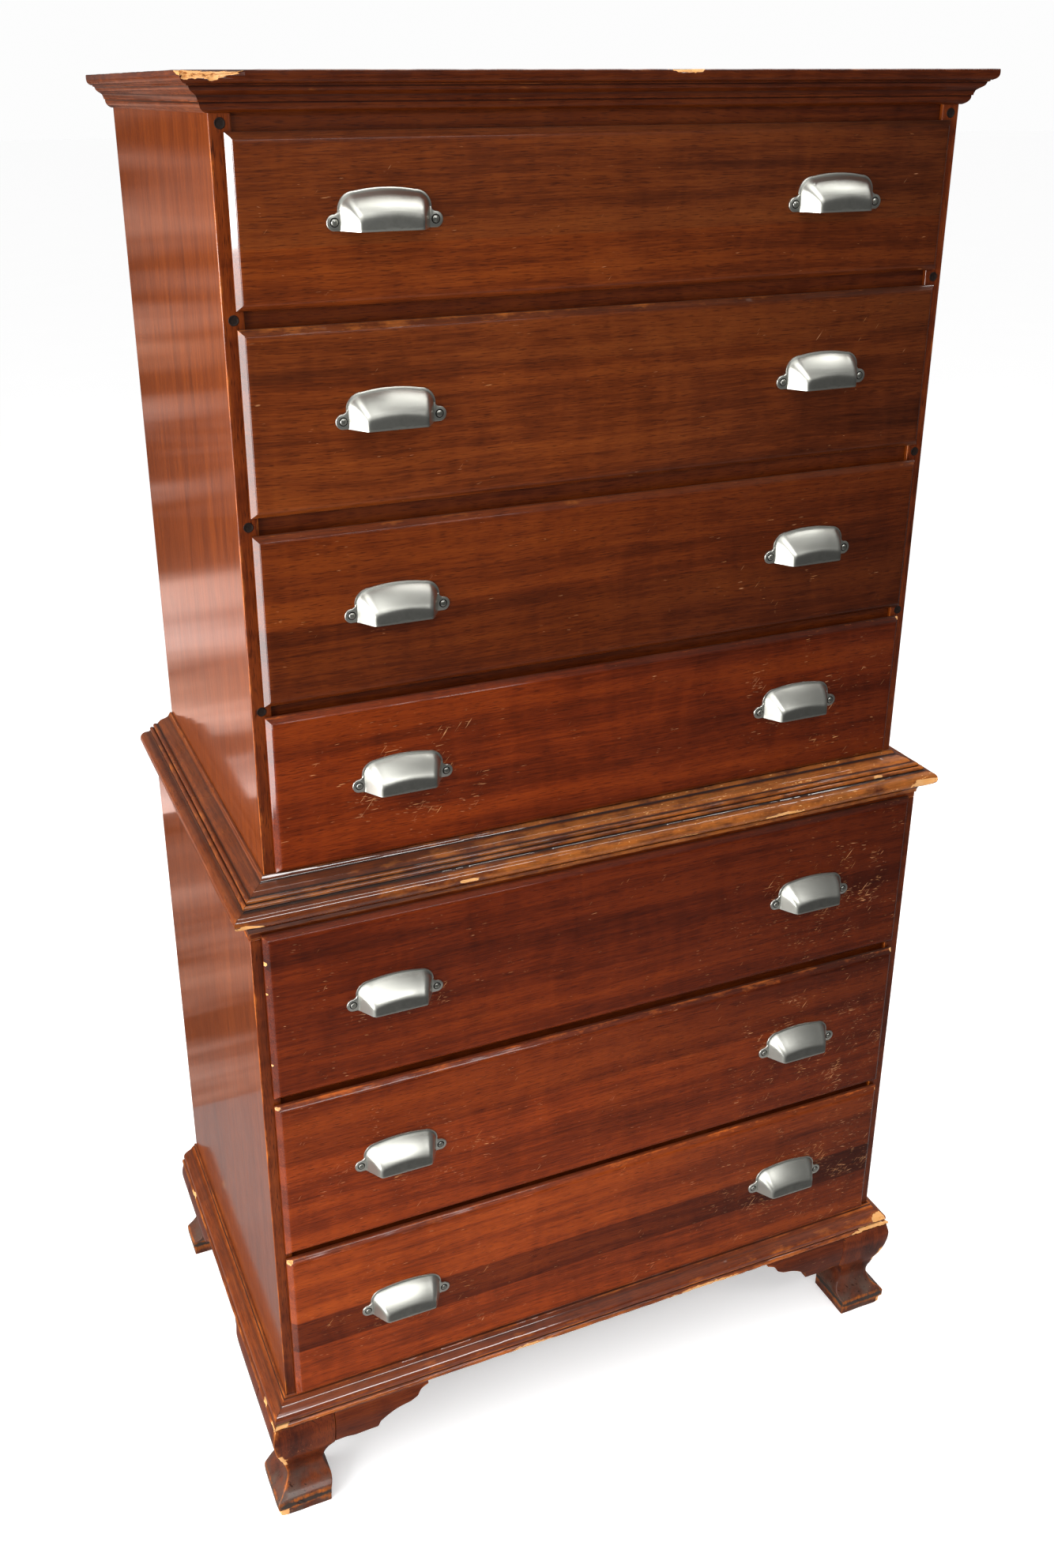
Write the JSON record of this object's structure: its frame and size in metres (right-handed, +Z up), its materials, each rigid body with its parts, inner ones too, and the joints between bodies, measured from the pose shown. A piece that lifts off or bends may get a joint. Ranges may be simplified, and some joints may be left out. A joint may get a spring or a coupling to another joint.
{
  "type": "tall chest of drawers",
  "caption": "Tall two-part mahogany chest of lipped drawers with metal cup pulls, moulded cornice, waist and base, on ogee bracket feet; every drawer slides.",
  "frame": {"origin": "on the floor, under the middle of the whole chest, from its back boards to the fronts of its lower pulls", "axes": "+Z up; +X to the right as seen from the front; drawers open towards -Y and the flat back faces +Y"},
  "size_m": [0.976, 0.5798, 1.7875],
  "materials": {
    "mahogany": "aged satin lacquer, red-brown, worn pale at the edges",
    "drawer_fronts": "aged satin lacquer with scratches round the pulls",
    "rails": "dark, dull mahogany",
    "secondary_wood": "bare, planed pine",
    "pulls": "brushed nickel, slightly tarnished"
  },
  "bodies": {
    "case": {"upper_left_side": "mahogany", "upper_right_side": "mahogany", "upper_top_panel": "mahogany", "cornice_front": "mahogany", "cornice_left": "mahogany", "cornice_right": "mahogany", "lower_left_side": "mahogany", "lower_right_side": "mahogany", "lower_top_panel": "mahogany", "waist_moulding_front": "mahogany", "waist_moulding_left": "mahogany", "waist_moulding_right": "mahogany", "base_moulding_front": "mahogany", "base_moulding_left": "mahogany", "base_moulding_right": "mahogany", "front_left_foot": "mahogany", "front_right_foot": "mahogany", "rear_left_foot": "mahogany", "rear_right_foot": "mahogany", "front_left_bracket": "mahogany", "front_right_bracket": "mahogany", "upper_top_rail": "rails", "upper_bottom_panel": "rails", "upper_divider_1": "rails", "upper_divider_2": "rails", "upper_divider_3": "rails", "lower_bottom_panel": "rails", "lower_divider_1": "rails", "lower_divider_2": "rails", "upper_back": "secondary_wood", "lower_back": "secondary_wood"},
    "drawer_1": {"drawer_1_front": "drawer_fronts", "drawer_1_box": "secondary_wood", "drawer_1_left_pull": "pulls", "drawer_1_right_pull": "pulls"},
    "drawer_2": {"drawer_2_front": "drawer_fronts", "drawer_2_box": "secondary_wood", "drawer_2_left_pull": "pulls", "drawer_2_right_pull": "pulls"},
    "drawer_3": {"drawer_3_front": "drawer_fronts", "drawer_3_box": "secondary_wood", "drawer_3_left_pull": "pulls", "drawer_3_right_pull": "pulls"},
    "drawer_4": {"drawer_4_front": "drawer_fronts", "drawer_4_box": "secondary_wood", "drawer_4_left_pull": "pulls", "drawer_4_right_pull": "pulls"},
    "drawer_5": {"drawer_5_front": "drawer_fronts", "drawer_5_box": "secondary_wood", "drawer_5_left_pull": "pulls", "drawer_5_right_pull": "pulls"},
    "drawer_6": {"drawer_6_front": "drawer_fronts", "drawer_6_box": "secondary_wood", "drawer_6_left_pull": "pulls", "drawer_6_right_pull": "pulls"},
    "drawer_7": {"drawer_7_front": "drawer_fronts", "drawer_7_box": "secondary_wood", "drawer_7_left_pull": "pulls", "drawer_7_right_pull": "pulls"}
  },
  "joints": [
    {"name": "drawer_1_slide", "type": "slide", "parent": "case", "child": "drawer_1", "axis": [0, -1, 0], "range_m": [0, 0.38]},
    {"name": "drawer_2_slide", "type": "slide", "parent": "case", "child": "drawer_2", "axis": [0, -1, 0], "range_m": [0, 0.38]},
    {"name": "drawer_3_slide", "type": "slide", "parent": "case", "child": "drawer_3", "axis": [0, -1, 0], "range_m": [0, 0.38]},
    {"name": "drawer_4_slide", "type": "slide", "parent": "case", "child": "drawer_4", "axis": [0, -1, 0], "range_m": [0, 0.38]},
    {"name": "drawer_5_slide", "type": "slide", "parent": "case", "child": "drawer_5", "axis": [0, -1, 0], "range_m": [0, 0.4]},
    {"name": "drawer_6_slide", "type": "slide", "parent": "case", "child": "drawer_6", "axis": [0, -1, 0], "range_m": [0, 0.4]},
    {"name": "drawer_7_slide", "type": "slide", "parent": "case", "child": "drawer_7", "axis": [0, -1, 0], "range_m": [0, 0.4]}
  ]
}
